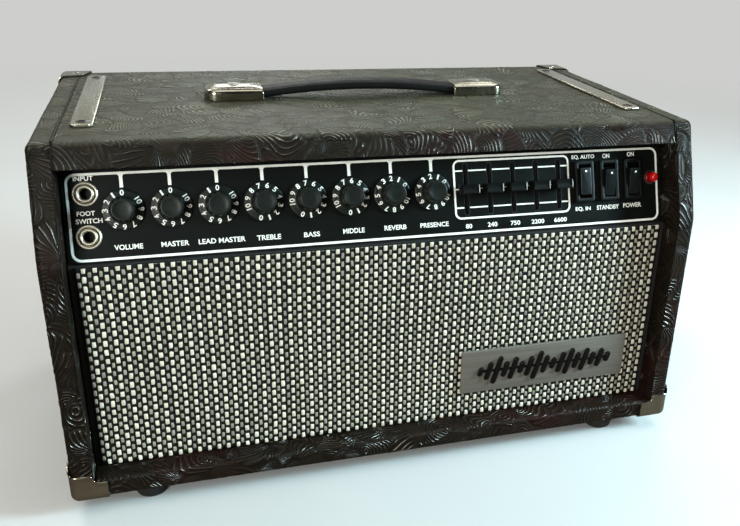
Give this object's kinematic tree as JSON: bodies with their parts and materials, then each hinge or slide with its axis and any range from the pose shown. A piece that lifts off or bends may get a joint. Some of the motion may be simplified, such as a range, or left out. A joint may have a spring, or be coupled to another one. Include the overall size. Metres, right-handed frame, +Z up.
{
  "type": "guitar amplifier head",
  "caption": "Vinyl-covered wooden amplifier head with a tilted control panel of knobs, sliders and rockers above a woven grille, a strap handle and rubber feet.",
  "frame": {"origin": "centre of the object's footprint on the surface its feet stand on", "axes": "+X to the right seen from the front, +Y to the back (the panel and grille face -Y), +Z up"},
  "size_m": [0.5026, 0.2906, 0.2925],
  "materials": {
    "tooled_vinyl": "dark brown vinyl with a pressed scroll pattern, semi-gloss",
    "black_board": "black stained plywood",
    "grille_weave": "cream blocks woven on black",
    "badge_metal": "fine brushed",
    "emblem_black": "moulded, glossy",
    "panel_paint": "black satin paint with white print",
    "chassis_steel": "zinc-plated sheet",
    "nickel": "nickel-plated, lightly worn",
    "jack_nickel": "nickel-plated, turned",
    "handle_grip": "black moulded vinyl over a steel band",
    "foot_rubber": "matt black",
    "control_plastic": "black moulded, satin",
    "rocker_plastic": "black moulded, polished",
    "lens_red": "red transparent moulding",
    "circuit_board": "green laminate",
    "transformer_iron": "black enamel on laminations",
    "tube_glass": "clear glass with a silver top"
  },
  "bodies": {
    "cabinet": {"badge_emblem": "emblem_black", "badge_plate": "badge_metal", "baffle_board": "black_board", "bottom_board": "tooled_vinyl", "chassis": "chassis_steel", "chassis_strap_left": "nickel", "chassis_strap_right": "nickel", "circuit_board": "circuit_board", "control_panel": "panel_paint", "corner_bottom_front_left": "nickel", "corner_bottom_front_right": "nickel", "corner_bottom_rear_left": "nickel", "corner_bottom_rear_right": "nickel", "corner_top_rear_left": "nickel", "corner_top_rear_right": "nickel", "eq_switch_housing": "control_plastic", "foot_front_left": "foot_rubber", "foot_front_right": "foot_rubber", "foot_rear_left": "foot_rubber", "foot_rear_right": "foot_rubber", "footswitch_jack": "jack_nickel", "grille_cloth": "grille_weave", "handle_cap_left": "nickel", "handle_cap_right": "nickel", "handle_strap": "handle_grip", "input_jack": "jack_nickel", "left_side_board": "tooled_vinyl", "output_transformer": "transformer_iron", "pilot_bezel": "jack_nickel", "pilot_lens": "lens_red", "power_switch_housing": "control_plastic", "power_transformer": "transformer_iron", "power_tube_1": "tube_glass", "power_tube_2": "tube_glass", "preamp_tube_1": "tube_glass", "preamp_tube_2": "tube_glass", "preamp_tube_3": "tube_glass", "preamp_tube_4": "tube_glass", "preamp_tube_5": "tube_glass", "rear_panel": "tooled_vinyl", "reverb_tank": "chassis_steel", "right_side_board": "tooled_vinyl", "standby_switch_housing": "control_plastic", "top_board": "tooled_vinyl"},
    "volume_knob": {"volume_knob": "control_plastic"},
    "master_knob": {"master_knob": "control_plastic"},
    "lead_master_knob": {"lead_master_knob": "control_plastic"},
    "treble_knob": {"treble_knob": "control_plastic"},
    "bass_knob": {"bass_knob": "control_plastic"},
    "middle_knob": {"middle_knob": "control_plastic"},
    "reverb_knob": {"reverb_knob": "control_plastic"},
    "presence_knob": {"presence_knob": "control_plastic"},
    "eq_slider_80": {"eq_slider_80": "control_plastic"},
    "eq_slider_240": {"eq_slider_240": "control_plastic"},
    "eq_slider_750": {"eq_slider_750": "control_plastic"},
    "eq_slider_2200": {"eq_slider_2200": "control_plastic"},
    "eq_slider_6600": {"eq_slider_6600": "control_plastic"},
    "eq_rocker": {"eq_rocker": "rocker_plastic"},
    "standby_rocker": {"standby_rocker": "rocker_plastic"},
    "power_rocker": {"power_rocker": "rocker_plastic"}
  },
  "joints": [
    {"name": "volume_turn", "type": "hinge", "parent": "cabinet", "child": "volume_knob", "pos_m": [-0.1939, -0.10797, 0.22725], "axis": [0, 0.9456, -0.3254], "range_deg": [0, 300]},
    {"name": "master_turn", "type": "hinge", "parent": "cabinet", "child": "master_knob", "pos_m": [-0.1617, -0.10797, 0.22725], "axis": [0, 0.9456, -0.3254], "range_deg": [0, 300]},
    {"name": "lead_master_turn", "type": "hinge", "parent": "cabinet", "child": "lead_master_knob", "pos_m": [-0.1295, -0.10797, 0.22725], "axis": [0, 0.9456, -0.3254], "range_deg": [0, 300]},
    {"name": "treble_turn", "type": "hinge", "parent": "cabinet", "child": "treble_knob", "pos_m": [-0.0973, -0.10797, 0.22725], "axis": [0, 0.9456, -0.3254], "range_deg": [-195, 105]},
    {"name": "bass_turn", "type": "hinge", "parent": "cabinet", "child": "bass_knob", "pos_m": [-0.0651, -0.10797, 0.22725], "axis": [0, 0.9456, -0.3254], "range_deg": [-204, 96]},
    {"name": "middle_turn", "type": "hinge", "parent": "cabinet", "child": "middle_knob", "pos_m": [-0.0329, -0.10797, 0.22725], "axis": [0, 0.9456, -0.3254], "range_deg": [-186, 114]},
    {"name": "reverb_turn", "type": "hinge", "parent": "cabinet", "child": "reverb_knob", "pos_m": [-0.0007, -0.10797, 0.22725], "axis": [0, 0.9456, -0.3254], "range_deg": [-57, 243]},
    {"name": "presence_turn", "type": "hinge", "parent": "cabinet", "child": "presence_knob", "pos_m": [0.0315, -0.10797, 0.22725], "axis": [0, 0.9456, -0.3254], "range_deg": [-52.5, 247.5]},
    {"name": "eq_80_slide", "type": "slide", "parent": "cabinet", "child": "eq_slider_80", "axis": [0, 0.3254, 0.9456], "range_m": [-0.0146, 0.0146]},
    {"name": "eq_240_slide", "type": "slide", "parent": "cabinet", "child": "eq_slider_240", "axis": [0, 0.3254, 0.9456], "range_m": [-0.0146, 0.0146]},
    {"name": "eq_750_slide", "type": "slide", "parent": "cabinet", "child": "eq_slider_750", "axis": [0, 0.3254, 0.9456], "range_m": [-0.0146, 0.0146]},
    {"name": "eq_2200_slide", "type": "slide", "parent": "cabinet", "child": "eq_slider_2200", "axis": [0, 0.3254, 0.9456], "range_m": [-0.0146, 0.0146]},
    {"name": "eq_6600_slide", "type": "slide", "parent": "cabinet", "child": "eq_slider_6600", "axis": [0, 0.3254, 0.9456], "range_m": [-0.0146, 0.0146]},
    {"name": "eq_tilt", "type": "hinge", "parent": "cabinet", "child": "eq_rocker", "pos_m": [0.161, -0.10519, 0.22767], "axis": [1, 0, 0], "range_deg": [-15, 15]},
    {"name": "standby_tilt", "type": "hinge", "parent": "cabinet", "child": "standby_rocker", "pos_m": [0.1834, -0.10519, 0.22767], "axis": [1, 0, 0], "range_deg": [-30, 0]},
    {"name": "power_tilt", "type": "hinge", "parent": "cabinet", "child": "power_rocker", "pos_m": [0.2055, -0.10519, 0.22767], "axis": [1, 0, 0], "range_deg": [-30, 0]}
  ]
}
